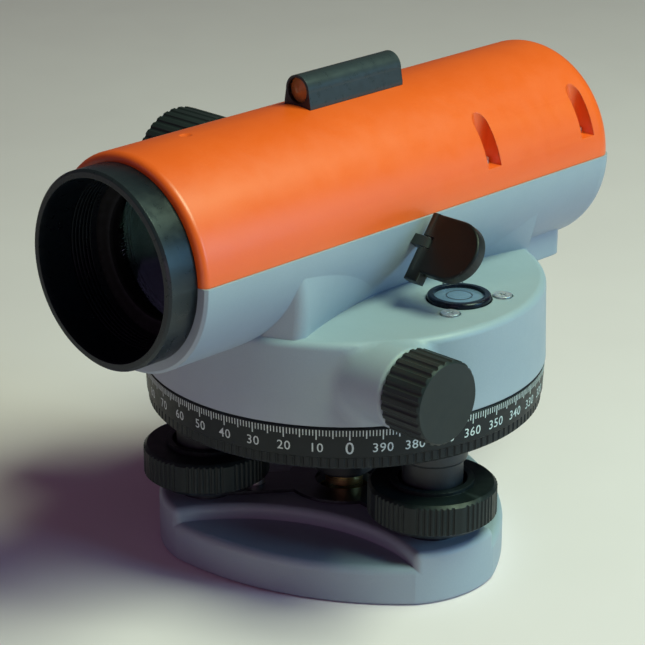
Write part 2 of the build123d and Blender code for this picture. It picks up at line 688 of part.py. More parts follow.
save(compensator_cage, "compensator_cage")

with BuildPart() as roof_prisms:
    # fixed prisms in front of and behind the pendulum, glued to the cage's cheeks
    for y0, y1 in ((CAGE_Y0 + 0.5, 25.0), (45.0, CAGE_Y1 - 0.5)):
        with BuildSketch(side_plane(-13, 0, 0)):
            with BuildLine():
                Polyline((y0, TUBE_Z - 9), (y1, TUBE_Z - 5), (y1, TUBE_Z + 5), (y0, TUBE_Z + 9),
                         close=True)
            make_face()
        extrude(amount=26)
save(roof_prisms, "roof_prisms")

with BuildPart() as damping_magnet:
    for y in (PENDULUM_Y - 9, PENDULUM_Y + 5):
        with Locations((-9, y, CAGE_Z0 + 2)):
            Box(18, 4, 5.6, align=Align.MIN)
save(damping_magnet, "damping_magnet")

with BuildPart() as pendulum_frame:
    with Locations((0, PENDULUM_Y, 94)):
        Box(24, 15, 27.5, align=UP)
    with Locations((0, PENDULUM_Y, 97)):
        Box(18, 20, 17, align=UP, mode=Mode.SUBTRACT)
    with Locations((0, PENDULUM_Y, 93.9)):
        Box(10, 3, 1.2, align=UP, mode=Mode.SUBTRACT)
    with BuildSketch(side_plane(-20, PENDULUM_Y, PENDULUM_Z)):
        Circle(0.6)
    extrude(amount=40, mode=Mode.SUBTRACT)
save(pendulum_frame, "pendulum_frame")

with BuildPart() as pendulum_prism:
    with BuildSketch(side_plane(-9, PENDULUM_Y, 0)):
        with BuildLine():
            Polyline((-7, 97), (7, 97), (7, 105), (0, 113), (-7, 105), close=True)
        make_face()
    extrude(amount=18)
save(pendulum_prism, "pendulum_prism")

with BuildPart() as damper_vane:
    with Locations((0, PENDULUM_Y, 86.6)):
        Box(10, 3, 8.5, align=UP)
save(damper_vane, "damper_vane")

with BuildPart() as suspension_wire:
    with BuildSketch(side_plane(-15.5, PENDULUM_Y, PENDULUM_Z)):
        Circle(0.6)
    extrude(amount=31)
save(suspension_wire, "suspension_wire")

# ================================================================ reticle and eyepiece
with BuildPart() as reticle_cell:
    with BuildSketch(TURN_Y):
        with BuildLine():
            Polyline((7, 60), (26.4, 60), (26.4, 63), (12, 63), (12, 66), (7, 66), close=True)
        make_face()
    revolve(axis=OPTICAL_AXIS)
    split(bisect_by=Plane.XY.offset(BORE_FLOOR_Z), keep=Keep.TOP)
save(reticle_cell, "reticle_cell")

with BuildPart() as reticle:
    with BuildSketch(tube_plane(62)):
        Circle(7)
    extrude(amount=2)
save(reticle, "reticle")

RING_Y0 = 86.4
RING_Y1 = 96.0
with BuildPart() as eyepiece_socket:
    with BuildSketch(TURN_Y):
        with BuildLine():
            Polyline((EYEPIECE_R + FIT, 68), (13, 68), (13, 84), (12.4, 84), (12.4, 86), (10, 86), (10, 93.6),
                     (EYEPIECE_R + FIT, 93.6), close=True)
        make_face()
    revolve(axis=OPTICAL_AXIS)
save(eyepiece_socket, "eyepiece_socket")

with BuildPart() as dioptre_ring:
    with BuildSketch(tube_plane(RING_Y0)):
        Circle(12.8)
        with PolarLocations(13.1, 44):
            Circle(0.5, mode=Mode.SUBTRACT)
    extrude(amount=RING_Y1 - RING_Y0)
    with BuildSketch(tube_plane(RING_Y1)):
        Circle(11.8)
    extrude(amount=1.4)
    with BuildSketch(tube_plane(RING_Y0 - 1)):
        Circle(10 + FIT)
    extrude(amount=8.8, mode=Mode.SUBTRACT)
    with BuildSketch(tube_plane(RING_Y0 - 1)):
        Circle(9.2)
    extrude(amount=30, mode=Mode.SUBTRACT)
save(dioptre_ring, "dioptre_ring")

with BuildPart() as eyepiece_cell:
    with BuildSketch(tube_plane(74)):
        Circle(EYEPIECE_R)
        Circle(6.6, mode=Mode.SUBTRACT)
    extrude(amount=21)
    with BuildSketch(tube_plane(95)):
        Circle(8.6)
        Circle(5.9, mode=Mode.SUBTRACT)
    extrude(amount=3.6)
    fillet(edges().group_by(Axis.Y)[-1], 0.8)
save(eyepiece_cell, "eyepiece_cell")

with BuildPart() as eyepiece_lens:
    with BuildSketch(TURN_Y):
        with BuildLine():
            Polyline((0, 88), (6.6, 89.6), (6.6, 92.6), (0, 94.6), close=True)
        make_face()
    revolve(axis=OPTICAL_AXIS)
save(eyepiece_lens, "eyepiece_lens")

# ================================================================ vertical spindle
with BuildPart() as axis_spindle:
    with BuildSketch(Plane.XZ):
        with BuildLine():
            Polyline((0, 29), (AXIS_TIP_R, 29), (AXIS_TIP_R, 45.6), (AXIS_R, 45.6), (AXIS_R, 74.9),
                     (20, 74.9),
                     (20, DRUM_CEILING_Z), (0, DRUM_CEILING_Z), close=True)
        make_face()
    revolve(axis=Axis.Z)
save(axis_spindle, "axis_spindle")

with BuildPart() as axis_nut:
    with BuildSketch(Plane.XY.offset(23.2)):
        RegularPolygon(6.2, 6)
    extrude(amount=4)
    with Locations((0, 0, 27.2)):
        Cylinder(4.0, 1.8, align=UP)
save(axis_nut, "axis_nut")

# ================================================================ circular bubble
HOLDER_Z0 = 74.2
with BuildPart() as bubble_holder:
    with BuildSketch(Plane.XY.offset(HOLDER_Z0)):
        with Locations((BUBBLE_X, BUBBLE_Y)):
            Circle(15.0)
    extrude(amount=2.2)
    with BuildSketch(Plane.XY.offset(HOLDER_Z0)):
        with Locations((BUBBLE_X, BUBBLE_Y)):
            Circle(BUBBLE_R)
    extrude(amount=SHOULDER_Z + 1.5 - HOLDER_Z0)
    fillet(edges().group_by(Axis.Z)[-1], 0.7)
    with BuildSketch(Plane.XY.offset(HOLDER_Z0 + 1.5)):
        with Locations((BUBBLE_X, BUBBLE_Y)):
            Circle(VIAL_R)
    extrude(amount=20, mode=Mode.SUBTRACT)
    for angle in BUBBLE_SCREW_ANGLES:
        dx, dy = polar(BUBBLE_SCREW_R, angle)
        with Locations((BUBBLE_X + dx, BUBBLE_Y + dy, 70)):
            Cylinder(1.4, 13, align=UP, mode=Mode.SUBTRACT)
save(bubble_holder, "bubble_holder")

with BuildPart() as bubble_vial:
    with BuildSketch(Plane(origin=(BUBBLE_X, BUBBLE_Y, 0), x_dir=(1, 0, 0), z_dir=(0, -1, 0))):
        with BuildLine():
            half_angle = degrees(asin(VIAL_R / VIAL_DOME_R))
            dome = CenterArc((0, VIAL_TOP_Z - VIAL_DOME_R), VIAL_DOME_R, 90, -half_angle)
            Polyline(dome @ 0, (0, HOLDER_Z0 + 1.5), (VIAL_R, HOLDER_Z0 + 1.5), dome @ 1)
        make_face()
    revolve(axis=Axis((BUBBLE_X, BUBBLE_Y, 0), (0, 0, 1)))
save(bubble_vial, "bubble_vial")

with BuildPart() as bubble_screws:
    for angle in BUBBLE_SCREW_ANGLES:
        dx, dy = polar(BUBBLE_SCREW_R, angle)
        spot = (BUBBLE_X + dx, BUBBLE_Y + dy)
        with Locations((*spot, HOLDER_Z0)):
            Cylinder(1.4, SHOULDER_Z - 0.9 - HOLDER_Z0, align=UP)
        with Locations((*spot, SHOULDER_Z - 0.9)):
            Cylinder(2.6, 1.3, align=UP)
        with Locations((*spot, SHOULDER_Z - 0.2)):
            Box(2.8, 0.55, 2, align=UP, mode=Mode.SUBTRACT)
            Box(0.55, 2.8, 2, align=UP, mode=Mode.SUBTRACT)
save(bubble_screws, "bubble_screws")

# ================================================================ tangent drive
with BuildPart() as tangent_bushes:
    for side in (1, -1):
        with BuildSketch(side_plane(side * 44.0, WORM_Y, WORM_Z)):
            Circle(6.5)
            Circle(3.5 + FIT, mode=Mode.SUBTRACT)
        extrude(amount=side * (TANGENT_BOSS_X - 44.0))
save(tangent_bushes, "tangent_bushes")

with BuildPart() as tangent_shaft:
    with BuildSketch(side_plane(-66, WORM_Y, WORM_Z)):
        Circle(3.5)
    extrude(amount=132)
    with BuildSketch(side_plane(-10, WORM_Y, WORM_Z)):
        Circle(5.0)
    extrude(amount=20)
    # thread crests of the worm
    for i in range(14):
        with BuildSketch(side_plane(-9.6 + 1.4 * i, WORM_Y, WORM_Z)):
            Circle(5.6)
        extrude(amount=0.6)
save(tangent_shaft, "tangent_shaft")

for side, name in ((1, "tangent_knob_near"), (-1, "tangent_knob_far")):
    with BuildPart() as tangent_knob:
        with BuildSketch(side_plane(side * TANGENT_X0, WORM_Y, WORM_Z)):
            Circle(TANGENT_KNOB_R)
            with PolarLocations(TANGENT_KNOB_R + 0.5, 26):
                Circle(0.95, mode=Mode.SUBTRACT)
        extrude(amount=side * (TANGENT_X1 - TANGENT_X0))
        # bevelled outer end, cut by a turned shape
        with BuildSketch(Plane(origin=(0, WORM_Y, WORM_Z), x_dir=(1, 0, 0), z_dir=(0, -1, 0))):
            with BuildLine():
                Polyline((side * TANGENT_X0, 0), (side * TANGENT_X0, TANGENT_KNOB_R + 1),
                         (side * (TANGENT_X1 - 1.6), TANGENT_KNOB_R + 1),
                         (side * TANGENT_X1, TANGENT_KNOB_R - 0.7), (side * TANGENT_X1, 0), close=True)
            make_face()
        revolve(axis=Axis((0, WORM_Y, WORM_Z), (1, 0, 0)), mode=Mode.INTERSECT)
        with BuildSketch(side_plane(side * (TANGENT_X0 - 1), WORM_Y, WORM_Z)):
            Circle(3.5)
        extrude(amount=side * (66 - TANGENT_X0 + 1), mode=Mode.SUBTRACT)
    save(tangent_knob, name)

# ================================================================ bubble mirror
PIN_R = 1.0
KNUCKLE_R = 2.0
LUG_HALF = 1.5


def hinge_plane(along):
    """The plane across the mirror's hinge line, a distance along it."""
    origin = PLANE_MIRROR.from_local_coords((0, along, 0))
    return Plane(origin=origin, x_dir=(1, 0, 0), z_dir=(0, 0.6, 0.8))


with BuildPart() as mirror_bracket:
    # one lug that grows out of the tube's side
    with BuildSketch(hinge_plane(-LUG_HALF)):
        Circle(KNUCKLE_R)
        with Locations((-3, 0)):
            Rectangle(6, 2 * KNUCKLE_R)
        Circle(PIN_R, mode=Mode.SUBTRACT)
    extrude(amount=2 * LUG_HALF)
    with BuildSketch(tube_plane(TUBE_Y0)):
        Circle(TUBE_R)
    extrude(amount=TUBE_Y1 - TUBE_Y0, mode=Mode.SUBTRACT)
save(mirror_bracket, "mirror_bracket")


def mirror_outline(inset, left):
    """D-shaped outline: straight at the hinge side (x = left), round at the free end."""
    half = MIRROR_HALF - inset
    Polyline((MIRROR_REACH, -half), (left, -half), (left, half), (MIRROR_REACH, half))
    ThreePointArc((MIRROR_REACH, half), (MIRROR_REACH + half, 0), (MIRROR_REACH, -half))


with BuildPart() as mirror_frame:
    with BuildSketch(PLANE_MIRROR.offset(-MIRROR_T / 2)):
        with BuildLine():
            mirror_outline(0, -KNUCKLE_R + 0.2)
        make_face()
        # foot at the lower end of the hinge side
        with Locations((0.6, -MIRROR_HALF - 0.8)):
            Rectangle(4.8, 4.0)
    extrude(amount=MIRROR_T)
    fillet(faces().sort_by(Axis((0, 0, 0), (0, -0.8, 0.6)))[-1].edges(), 0.7)
    # knuckles round the pin, above and below the bracket's lug
    for low, high in ((-8.6, -LUG_HALF - 0.3), (LUG_HALF + 0.3, 8.6)):
        with BuildSketch(hinge_plane(low)):
            Circle(KNUCKLE_R - 0.1)
        extrude(amount=high - low)
    with BuildSketch(PLANE_MIRROR.offset(-5)):
        Rectangle(2 * KNUCKLE_R + 0.7, 2 * LUG_HALF + 0.6)
    extrude(amount=10, mode=Mode.SUBTRACT)
    with BuildSketch(PLANE_MIRROR.offset(-MIRROR_T / 2)):
        with BuildLine():
            mirror_outline(1.5, 3.2)
        make_face()
    extrude(amount=1.4, mode=Mode.SUBTRACT)
    with BuildSketch(hinge_plane(-9.5)):
        Circle(PIN_R + 0.05)
    extrude(amount=22, mode=Mode.SUBTRACT)
save(mirror_frame, "mirror_frame")

with BuildPart() as mirror_glass:
    with BuildSketch(PLANE_MIRROR.offset(-MIRROR_T / 2 + 0.2)):
        with BuildLine():
            mirror_outline(1.55, 3.25)
        make_face()
    extrude(amount=1.15)
save(mirror_glass, "mirror_glass")

with BuildPart() as mirror_pin:
    with BuildSketch(hinge_plane(-8.4)):
        Circle(PIN_R)
    extrude(amount=8.4 + 8.4)
save(mirror_pin, "mirror_pin")

# ================================================================ peep sight
with BuildPart() as sight_body:
    with BuildSketch(SIGHT_PLANE):
        with BuildLine():
            Polyline((-SIGHT_R, SIGHT_Z), (-5.0, 135.6), (-5.0, 134.2), (5.0, 134.2), (5.0, 135.6),
                     (SIGHT_R, SIGHT_Z))
            ThreePointArc((SIGHT_R, SIGHT_Z), (0, SIGHT_Z + SIGHT_R), (-SIGHT_R, SIGHT_Z))
        make_face()
    extrude(amount=SIGHT_Y0 - SIGHT_Y1)
    with BuildSketch(tube_plane(TUBE_Y0)):
        Circle(COVER_R)
    extrude(amount=TUBE_Y1 - TUBE_Y0, mode=Mode.SUBTRACT)
    with BuildSketch(SIGHT_PLANE):
        with Locations((0, SIGHT_Z)):
            Circle(3.6)
    extrude(amount=-3, mode=Mode.SUBTRACT)
    with BuildSketch(SIGHT_PLANE):
        with Locations((0, SIGHT_Z)):
            Circle(2.2)
    extrude(amount=-60, mode=Mode.SUBTRACT)
save(sight_body, "sight_body")

with BuildPart() as sight_lens:
    with BuildSketch(Plane(origin=(0, 0, SIGHT_Z), x_dir=(1, 0, 0), z_dir=(0, 0, 1))):
        with BuildLine():
            Polyline((0, SIGHT_Y0 + 0.4), (3.6, SIGHT_Y0 + 1.2), (3.6, SIGHT_Y0 + 3),
                     (0, SIGHT_Y0 + 3), close=True)
        make_face()
    revolve(axis=Axis((0, 0, SIGHT_Z), (0, 1, 0)))
save(sight_lens, "sight_lens")
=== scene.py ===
"""Looks of the automatic level: paints, anodised and moulded finishes, glass, the engraved
graduations and numbers of the circle, the bubble's markings, studio floor, light and camera.
Everything is in metres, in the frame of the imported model: -Y is the objective's side, +Z is up.
"""

import bmesh
import bpy
from math import cos, pi, radians, sin
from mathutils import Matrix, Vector


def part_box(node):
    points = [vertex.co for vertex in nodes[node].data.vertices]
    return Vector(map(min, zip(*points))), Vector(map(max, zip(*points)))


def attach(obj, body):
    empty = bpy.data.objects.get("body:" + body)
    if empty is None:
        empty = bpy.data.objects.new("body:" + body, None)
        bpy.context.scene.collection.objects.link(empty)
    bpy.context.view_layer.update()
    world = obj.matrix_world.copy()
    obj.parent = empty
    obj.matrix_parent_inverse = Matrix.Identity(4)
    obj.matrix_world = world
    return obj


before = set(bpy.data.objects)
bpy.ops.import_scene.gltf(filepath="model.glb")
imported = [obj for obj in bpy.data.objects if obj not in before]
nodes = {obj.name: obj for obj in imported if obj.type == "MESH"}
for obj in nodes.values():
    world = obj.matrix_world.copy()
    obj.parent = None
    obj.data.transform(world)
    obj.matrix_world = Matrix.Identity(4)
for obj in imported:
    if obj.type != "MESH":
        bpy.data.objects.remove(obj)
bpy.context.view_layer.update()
scene = bpy.context.scene
MM = 0.001
NOISE_ROUGHNESS = 0.55
BEVEL_SAMPLES = 4


# ---------------------------------------------------------------- material helpers
class Shader:
    """A Principled material with short calls for its procedural nodes."""

    def __init__(self, name, **values):
        self.material = bpy.data.materials.new(name)
        self.material.use_nodes = True
        self.tree = self.material.node_tree
        self.tree.nodes.clear()
        self.out = self.tree.nodes.new("ShaderNodeOutputMaterial")
        self.bsdf = self.tree.nodes.new("ShaderNodeBsdfPrincipled")
        self.link(self.bsdf.outputs["BSDF"], self.out.inputs["Surface"])
        self.coords = self.tree.nodes.new("ShaderNodeTexCoord").outputs["Object"]
        self.normal = None
        for key, value in values.items():
            self.bsdf.inputs[key.replace("_", " ")].default_value = value

    def link(self, a, b):
        self.tree.links.new(a, b)

    def noise(self, scale, detail=4.0, stretch=None):
        """Noise in object space; stretch scales the axes apart, as for brushed or turned marks."""
        node = self.tree.nodes.new("ShaderNodeTexNoise")
        node.inputs["Scale"].default_value = scale
        node.inputs["Detail"].default_value = detail
        node.inputs["Roughness"].default_value = NOISE_ROUGHNESS
        source = self.coords
        if stretch:
            mapping = self.tree.nodes.new("ShaderNodeMapping")
            mapping.inputs["Scale"].default_value = stretch
            self.link(self.coords, mapping.inputs["Vector"])
            source = mapping.outputs["Vector"]
        self.link(source, node.inputs["Vector"])
        return node.outputs["Fac"]

    def cells(self, scale):
        """Distance to the nearest of scattered points, for a leathery grain."""
        node = self.tree.nodes.new("ShaderNodeTexVoronoi")
        node.inputs["Scale"].default_value = scale
        self.link(self.coords, node.inputs["Vector"])
        return node.outputs["Distance"]

    def grey(self, fac, low, high, start=0.3, end=0.7):
        """A number that follows a pattern from low to high."""
        node = self.tree.nodes.new("ShaderNodeMapRange")
        node.inputs["From Min"].default_value = start
        node.inputs["From Max"].default_value = end
        node.inputs["To Min"].default_value = low
        node.inputs["To Max"].default_value = high
        self.link(fac, node.inputs["Value"])
        return node.outputs["Result"]

    def mix(self, fac, a, b):
        """A colour between a and b, each a tuple or the output of another node."""
        node = self.tree.nodes.new("ShaderNodeMix")
        node.data_type = "RGBA"
        node.blend_type = "MIX"
        self.link(fac, node.inputs["Factor"])
        for socket, value in ((node.inputs["A"], a), (node.inputs["B"], b)):
            if isinstance(value, tuple):
                socket.default_value = (*value, 1.0)
            else:
                self.link(value, socket)
        return node.outputs["Result"]

    def edges(self, low, high):
        """1 on worn convex edges, 0 elsewhere."""
        geometry = self.tree.nodes.new("ShaderNodeNewGeometry")
        return self.grey(geometry.outputs["Pointiness"], 0.0, 1.0, low, high)

    def soften(self, radius):
        """Rounds the sharp edges that light catches."""
        node = self.tree.nodes.new("ShaderNodeBevel")
        node.samples = BEVEL_SAMPLES
        node.inputs["Radius"].default_value = radius
        if self.normal:
            self.link(self.normal, node.inputs["Normal"])
        self.normal = node.outputs["Normal"]

    def bump(self, height, strength, distance):
        """Fine relief that follows a pattern."""
        node = self.tree.nodes.new("ShaderNodeBump")
        node.inputs["Strength"].default_value = strength
        node.inputs["Distance"].default_value = distance
        self.link(height, node.inputs["Height"])
        if self.normal:
            self.link(self.normal, node.inputs["Normal"])
        self.normal = node.outputs["Normal"]

    def done(self):
        if self.normal:
            self.link(self.normal, self.bsdf.inputs["Normal"])
        return self.material

    def set(self, name, socket):
        self.link(socket, self.bsdf.inputs[name])


def painted(name, tone, shade, worn, roughness, grain, coat):
    """Stove paint on a casting: cloudy tone, fine orange peel, edges a little lighter."""
    s = Shader(name, Coat_Weight=coat, Coat_Roughness=0.28)
    cloud = s.noise(22.0, 5.0)
    speck = s.noise(2600.0, 2.0)
    base = s.mix(s.grey(cloud, 0.0, 1.0), shade, tone)
    base = s.mix(s.grey(speck, 0.0, 0.16), base, worn)
    base = s.mix(s.grey(s.edges(0.53, 0.66), 0.0, 0.35, 0.0, 1.0), base, worn)
    s.set("Base Color", base)
    s.set("Roughness", s.grey(s.noise(160.0, 4.0), roughness - 0.05, roughness + 0.06))
    s.soften(0.45 * MM)
    s.bump(s.noise(1150.0, 3.0), grain, 0.06 * MM)
    s.bump(s.noise(4200.0, 2.0), grain * 0.7, 0.02 * MM)
    return s.done()


def anodised(name, tone, sheen, roughness, turned=None):
    """Black anodised metal: fine turning marks when it is turned, and a dark sheen."""
    s = Shader(name, Metallic=0.30, Specular_IOR_Level=0.36)
    cloud = s.noise(60.0, 4.0)
    base = s.mix(s.grey(cloud, 0.0, 1.0), tone, sheen)
    base = s.mix(s.grey(s.edges(0.54, 0.68), 0.0, 0.5, 0.0, 1.0), base, (0.10, 0.115, 0.13))
    s.set("Base Color", base)
    s.set("Roughness", s.grey(s.noise(420.0, 3.0), roughness - 0.05, roughness + 0.07))
    s.soften(0.3 * MM)
    if turned:
        s.bump(s.noise(1.0, 2.0, stretch=turned), 0.12, 0.03 * MM)
    s.bump(s.noise(3800.0, 2.0), 0.10, 0.02 * MM)
    return s.done()


def moulded(name, tone, sheen, roughness):
    """Moulded black grip: fine leathery grain, slightly polished and dusty on its ribs."""
    s = Shader(name, Specular_IOR_Level=0.24)
    base = s.mix(s.grey(s.noise(45.0, 4.0), 0.0, 1.0), tone, sheen)
    base = s.mix(s.grey(s.edges(0.53, 0.64), 0.0, 0.5, 0.0, 1.0), base, (0.04, 0.05, 0.055))
    s.set("Base Color", base)
    s.set("Roughness", s.grey(s.noise(300.0, 4.0), roughness - 0.06, roughness + 0.08))
    s.soften(0.25 * MM)
    s.bump(s.cells(2300.0), 0.10, 0.04 * MM)
    return s.done()


def bright(name, tone, shade, roughness, stretch, strength=0.18):
    """Turned or brushed bare metal."""
    s = Shader(name, Metallic=1.0)
    marks = s.noise(1.0, 3.0, stretch=stretch)
    base = s.mix(s.grey(marks, 0.0, 1.0), shade, tone)
    s.set("Base Color", s.mix(s.grey(s.noise(70.0), 0.0, 0.25), base, shade))
    s.set("Roughness", s.grey(marks, roughness - 0.06, roughness + 0.10))
    s.soften(0.15 * MM)
    s.bump(marks, strength, 0.02 * MM)
    return s.done()


def optical(name, tint, ior, clear, shine, coating):
    """Optical glass: how clear it is, how strongly it mirrors, the colour of its coating, and dust."""
    s = Shader(name, Transmission_Weight=clear, IOR=ior, Specular_IOR_Level=shine)
    s.bsdf.inputs["Specular Tint"].default_value = (*coating, 1.0)
    dusty = tuple(0.8 * v + 0.2 for v in tint)
    s.set("Base Color", s.mix(s.grey(s.noise(90.0), 0.0, 0.2), tint, dusty))
    s.set("Roughness", s.grey(s.noise(700.0, 5.0), 0.02, 0.08, 0.55, 0.8))
    return s.done()


def mottled(name, tone, shade, clouds, patches, *rough_range, **values):
    """A plain finish whose tone and roughness drift a little; clouds and patches size the drift."""
    s = Shader(name, **values)
    s.set("Base Color", s.mix(s.grey(s.noise(*clouds), 0.0, 1.0), tone, shade))
    s.set("Roughness", s.grey(s.noise(*patches), *rough_range))
    return s.done()


# ---------------------------------------------------------------- the finishes
GREY_PAINT = painted(
    "grey_paint", (0.290, 0.335, 0.415), (0.260, 0.305, 0.382), (0.38, 0.42, 0.49), 0.50, 0.10, 0.08)
ORANGE_PAINT = painted(
    "orange_paint", (0.87, 0.108, 0.007), (0.81, 0.092, 0.005), (0.92, 0.17, 0.03), 0.40, 0.07, 0.30)
BLACK_CASTING = painted(
    "black_casting", (0.014, 0.018, 0.024), (0.010, 0.013, 0.018), (0.05, 0.06, 0.07), 0.42, 0.16, 0.05)

CIRCLE_BLACK = anodised(
    "circle_black", (0.006, 0.009, 0.012), (0.010, 0.013, 0.017), 0.42, turned=(30.0, 30.0, 2600.0))
HOOD_BLACK = anodised(
    "hood_black", (0.003, 0.006, 0.010), (0.005, 0.010, 0.016), 0.30, turned=(40.0, 2600.0, 40.0))
SIGHT_BLACK = anodised(
    "sight_black", (0.005, 0.009, 0.014), (0.008, 0.015, 0.023), 0.30, turned=(1800.0, 30.0, 1800.0))
TRAP_BLACK = anodised("trap_black", (0.003, 0.003, 0.004), (0.004, 0.005, 0.006), 0.72)
PLATE_BLACK = anodised("plate_black", (0.006, 0.006, 0.007), (0.009, 0.009, 0.010), 0.42)
BEZEL_BLACK = anodised("bezel_black", (0.004, 0.005, 0.012), (0.007, 0.009, 0.022), 0.22)
KNOB_BLACK = moulded("knob_black", (0.004, 0.007, 0.008), (0.007, 0.011, 0.013), 0.40)

STEEL = bright(
    "steel_turned", (0.62, 0.63, 0.65), (0.42, 0.43, 0.45), 0.26, (60.0, 60.0, 3000.0))
SCREW_STEEL = bright(
    "screw_steel", (0.92, 0.92, 0.92), (0.70, 0.70, 0.72), 0.40, (900.0, 900.0, 900.0), 0.1)
BLUED_STEEL = bright(
    "blued_steel", (0.10, 0.11, 0.13), (0.06, 0.065, 0.08), 0.36, (400.0, 400.0, 400.0), 0.1)
SHAFT_STEEL = bright(
    "shaft_steel", (0.62, 0.63, 0.65), (0.42, 0.43, 0.45), 0.25, (3000.0, 60.0, 60.0))
BRASS = bright(
    "brass_turned", (0.78, 0.57, 0.25), (0.55, 0.38, 0.15), 0.30, (60.0, 60.0, 2600.0))
ALLOY = bright(
    "alloy_milled", (0.68, 0.69, 0.71), (0.48, 0.49, 0.51), 0.36, (300.0, 2200.0, 300.0))
MAGNET = bright(
    "sintered_magnet", (0.22, 0.22, 0.24), (0.12, 0.12, 0.13), 0.45, (1500.0, 1500.0, 1500.0))

COATED_GLASS = optical("coated_glass", (0.90, 0.95, 0.96), 1.52, 1.0, 0.16, (0.45, 0.85, 0.70))
# The objective glass is tinted a dark grey-green so the view into the tube comes out dark: painted shade
# of the tube's inside.
OBJECTIVE_GLASS_PAINTED_SHADE = optical("objective_glass_painted_shade", (0.42, 0.50, 0.48), 1.52, 1.0, 0.10, (0.5, 0.8, 0.9))
# The vial's blue tint, on a glass that is only partly see-through, is painted reflection of the sky and
# of the mirror over it.
VIAL_GLASS_PAINTED_REFLECTION = optical("vial_glass", (0.20, 0.29, 0.47), 1.47, 0.40, 0.4, (0.8, 0.9, 1.0))
AMBER_GLASS = optical("amber_glass", (0.80, 0.42, 0.12), 1.50, 0.6, 0.5, (1.0, 0.8, 0.5))

MIRROR = mottled("mirror_silver", (0.80, 0.82, 0.84), (0.86, 0.88, 0.90), (120.0,), (500.0, 5.0),
                 0.02, 0.10, 0.5, 0.8, Metallic=1.0)
WHITE_FILL = mottled("engraving_white", (0.46, 0.52, 0.54), (0.62, 0.68, 0.70), (900.0, 3.0), (1500.0,),
                     0.5, 0.7, Specular_IOR_Level=0.3)
ETCHED = mottled("etched_line", (0.010, 0.012, 0.025), (0.02, 0.022, 0.04), (900.0,), (900.0,),
                 0.3, 0.45, Specular_IOR_Level=0.4)
FLOOR_PALE = mottled("floor_pale", (0.81, 0.64, 0.73), (0.84, 0.67, 0.76), (6.0,), (40.0,),
                     0.6, 0.75, Specular_IOR_Level=0.2)

BY_NODE = {
    GREY_PAINT: ("base_plate", "lower_housing"),
    ORANGE_PAINT: ("upper_cover",),
    BLACK_CASTING: ("levelling_head",),
    CIRCLE_BLACK: ("graduated_circle",),
    HOOD_BLACK: ("objective_hood", "eyepiece_socket", "eyepiece_cell", "focus_bush"),
    TRAP_BLACK: ("objective_cell", "reticle_cell", "telescope_chassis", "focusing_cell"),
    SIGHT_BLACK: ("sight_body",),
    PLATE_BLACK: ("mirror_frame", "mirror_bracket"),
    BEZEL_BLACK: ("bubble_holder",),
    BLUED_STEEL: ("spring_plate",),
    KNOB_BLACK: ("footscrew_knob_a", "footscrew_knob_b", "footscrew_knob_c", "tangent_knob_near",
                 "tangent_knob_far", "focus_knob", "dioptre_ring"),
    STEEL: ("footscrew_spindle_a", "footscrew_spindle_b", "footscrew_spindle_c",
            "axis_spindle", "axis_nut", "clutch_washer", "damper_vane"),
    SCREW_STEEL: ("spring_plate_screws", "cover_screws", "bubble_screws", "mirror_pin"),
    SHAFT_STEEL: ("tangent_shaft", "focus_shaft", "suspension_wire"),
    BRASS: ("thread_insert", "centre_link", "axis_bush", "worm_wheel", "tangent_bushes"),
    ALLOY: ("compensator_cage", "pendulum_frame"),
    MAGNET: ("damping_magnet",),
    OBJECTIVE_GLASS_PAINTED_SHADE: ("objective_lens_front", "objective_lens_rear"),
    COATED_GLASS: ("roof_prisms", "reticle", "focusing_lens", "eyepiece_lens", "pendulum_prism"),
    VIAL_GLASS_PAINTED_REFLECTION: ("bubble_vial",),
    AMBER_GLASS: ("sight_lens",),
    MIRROR: ("mirror_glass",),
}
for material, names in BY_NODE.items():
    for name in names:
        mesh = nodes[name].data
        mesh.materials.clear()
        mesh.materials.append(material)


# ---------------------------------------------------------------- mesh helpers
RING_STEPS = 96


def add_mesh(name, verts, faces, material, body):
    """A mesh piece that rides on a body."""
    mesh = bpy.data.meshes.new(name)
    mesh.from_pydata([tuple(v) for v in verts], [], faces)
    mesh.validate()
    mesh.update()
    obj = bpy.data.objects.new(name, mesh)
    scene.collection.objects.link(obj)
    obj.data.materials.append(material)
    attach(obj, body)


def ring(name, centre, radius, thickness, height, material, body):
    """A flat raised ring of rectangular section lying in the XY plane."""
    verts = []
    faces = []
    for i in range(RING_STEPS):
        a = 2 * pi * i / RING_STEPS
        for r, z in ((radius - thickness / 2, 0), (radius + thickness / 2, 0),
                     (radius + thickness / 2, height), (radius - thickness / 2, height)):
            verts.append((centre[0] + r * cos(a), centre[1] + r * sin(a), centre[2] + z))
    for i in range(RING_STEPS):
        j = (i + 1) % RING_STEPS
        for k in range(4):
            m = (k + 1) % 4
            faces.append((4 * i + k, 4 * j + k, 4 * j + m, 4 * i + m))
    add_mesh(name, verts, faces, material, body)


# ---------------------------------------------------------------- graduated circle
# Lengths in this part are in millimetres and angles in degrees.
FACE_LOW_R, FACE_HIGH_R = 57.6, 58.0
FACE_LOW_Z, FACE_HIGH_Z = 49.1, 57.4
FULL_CIRCLE = 400
GON = 360 / FULL_CIRCLE
ZERO_ANGLE = -44.6
FILL_SUNK, FILL_PROUD = -0.05, 0.02
TICK_TOP_Z = 57.2
TICK_TENTH, TICK_FIFTH, TICK_SHORT = 2.9, 2.45, 1.75
TICK_HALF_BOLD, TICK_HALF_FINE = 0.17, 0.135
NUMBER_MIDDLE_Z = 51.95
NUMBER_SIZE, ZERO_SIZE = 3.8, 5.1
NUMBER_BOLDER = 0.004
NUMBER_SPACING = 1.08
NUMBER_CURVE_STEPS = 3


def face_point(angle, z, proud):
    """A point of the circle's conical face at an angle (degrees) and height (mm)."""
    rise = (z - FACE_LOW_Z) / (FACE_HIGH_Z - FACE_LOW_Z)
    r = FACE_LOW_R + (FACE_HIGH_R - FACE_LOW_R) * rise + proud
    return (r * cos(radians(angle)) * MM, r * sin(radians(angle)) * MM, z * MM)


